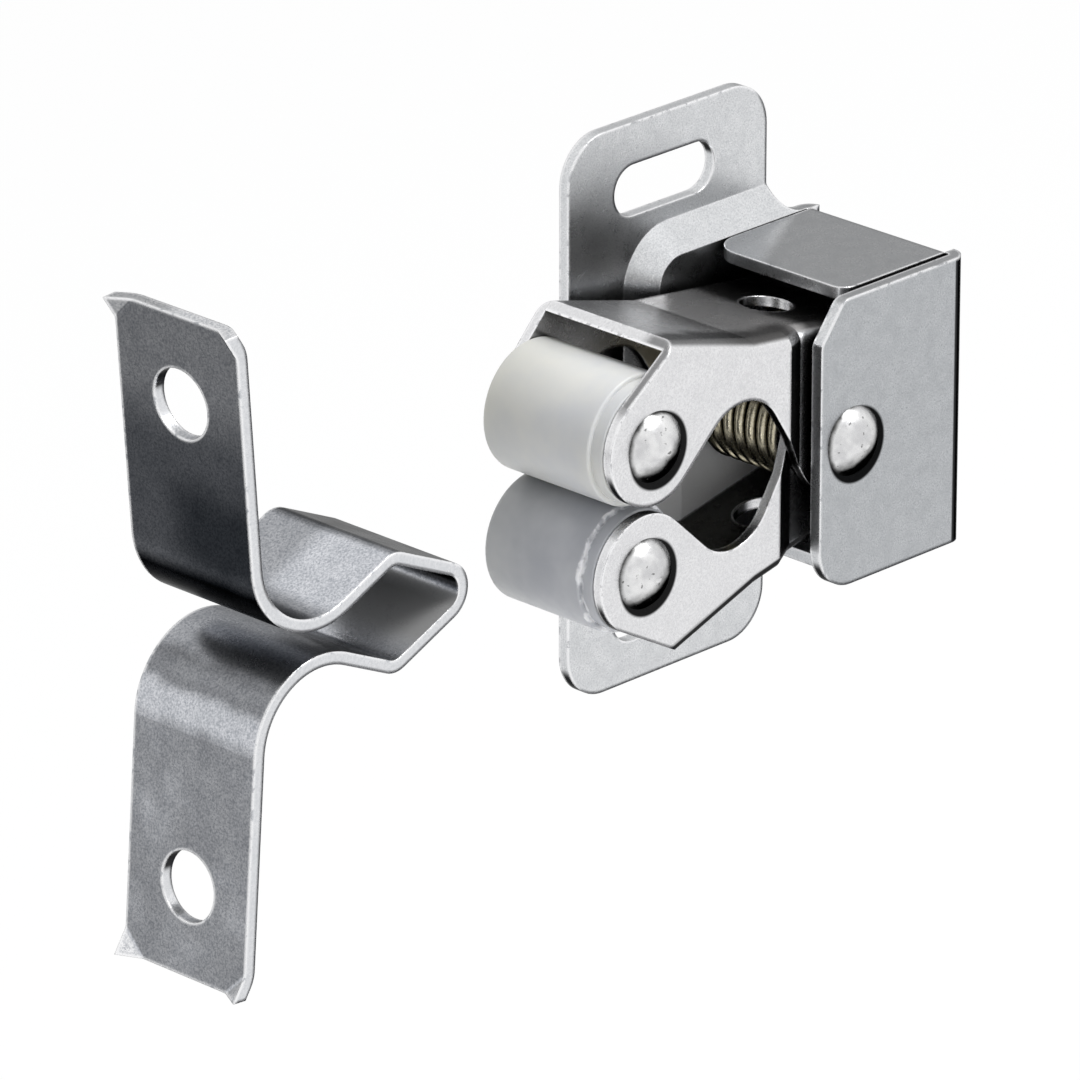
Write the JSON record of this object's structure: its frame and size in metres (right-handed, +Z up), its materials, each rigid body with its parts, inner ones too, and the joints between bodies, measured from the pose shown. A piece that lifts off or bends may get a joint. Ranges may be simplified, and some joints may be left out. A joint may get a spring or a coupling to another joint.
{
  "type": "double roller catch",
  "caption": "Double roller catch for a cupboard door: a folded steel housing whose two sprung arms close their rollers on a spear-shaped striker.",
  "frame": {"origin": "centre of the two fixing slots, on the face of the base plate that lies against the cupboard wall", "axes": "+X from the striker into the catch, +Y into the cupboard wall, +Z up along the line of the slots"},
  "size_m": [0.0713, 0.018, 0.0474],
  "materials": {
    "zinc_plate": "bright zinc plate with a fine grain",
    "rivet": "polished zinc plate",
    "spring_steel": "drawn spring wire",
    "nylon": "translucent white, satin"
  },
  "bodies": {
    "catch": {"housing": "zinc_plate", "pivot_pin": "rivet", "torsion_spring": "spring_steel"},
    "upper_jaw": {"upper_arm": "zinc_plate", "upper_roller_pin": "rivet"},
    "lower_jaw": {"lower_arm": "zinc_plate", "lower_roller_pin": "rivet"},
    "upper_wheel": {"upper_roller": "nylon"},
    "lower_wheel": {"lower_roller": "nylon"},
    "striker": {"striker": "zinc_plate"}
  },
  "joints": [
    {"name": "upper_arm_swing", "type": "hinge", "parent": "catch", "child": "upper_jaw", "pos_m": [0.0026, -0.0098, 0], "axis": [0, 1, 0], "range_deg": [0, 16], "stiffness_Nm_per_rad": 0.038, "springref_deg": -91.67, "deforming": ["torsion_spring"]},
    {"name": "lower_arm_swing", "type": "hinge", "parent": "catch", "child": "lower_jaw", "pos_m": [0.0026, -0.0098, 0], "axis": [0, -1, 0], "range_deg": [0, 16], "stiffness_Nm_per_rad": 0.038, "springref_deg": -91.67},
    {"name": "upper_roller_spin", "type": "hinge", "parent": "upper_jaw", "child": "upper_wheel", "pos_m": [-0.0166, -0.0098, 0.0048], "axis": [0, 1, 0], "continuous": true},
    {"name": "lower_roller_spin", "type": "hinge", "parent": "lower_jaw", "child": "lower_wheel", "pos_m": [-0.0166, -0.0098, -0.0048], "axis": [0, 1, 0], "continuous": true},
    {"name": "striker_slide", "type": "slide", "parent": "catch", "child": "striker", "axis": [1, 0, 0], "range_m": [0, 0.0148]}
  ]
}
